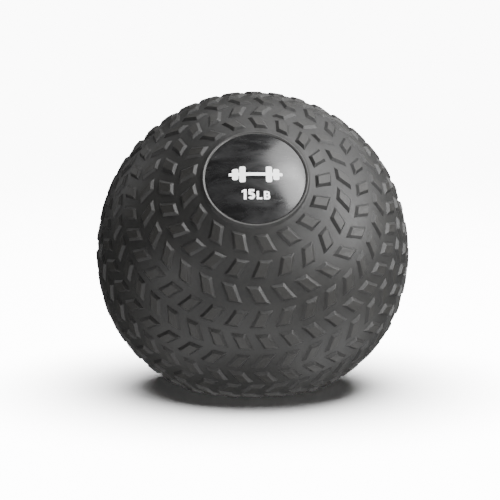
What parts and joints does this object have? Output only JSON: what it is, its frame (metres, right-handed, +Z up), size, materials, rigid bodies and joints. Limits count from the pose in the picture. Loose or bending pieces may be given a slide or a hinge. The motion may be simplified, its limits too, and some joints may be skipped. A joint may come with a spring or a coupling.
{
  "type": "slam ball",
  "caption": "Sand-filled medicine ball with a herringbone tread of raised lugs, a flattened foot and a domed medallion at each pole, for slamming and lifting exercises.",
  "frame": {"origin": "centre of the flattened foot, on the surface that the ball rests on", "axes": "+Z up; the front medallion faces -Y and leans back 31 degrees above the horizontal; +X to the right as seen from the front"},
  "size_m": [0.2297, 0.23, 0.219],
  "materials": {
    "tread_rubber": "satin, moulded",
    "medallion_gloss": "polished",
    "white_print": "screen print",
    "adhesive_film": "cured film",
    "sand": "loose grains"
  },
  "bodies": {
    "root": {"tread_shell": "tread_rubber", "fill_plug": "tread_rubber", "front_medallion": "medallion_gloss", "rear_medallion": "medallion_gloss", "medallion_pictogram": "white_print", "weight_marking": "white_print", "front_medallion_adhesive": "adhesive_film", "rear_medallion_adhesive": "adhesive_film", "plug_cement": "adhesive_film", "sand_fill": "sand"}
  },
  "joints": []
}
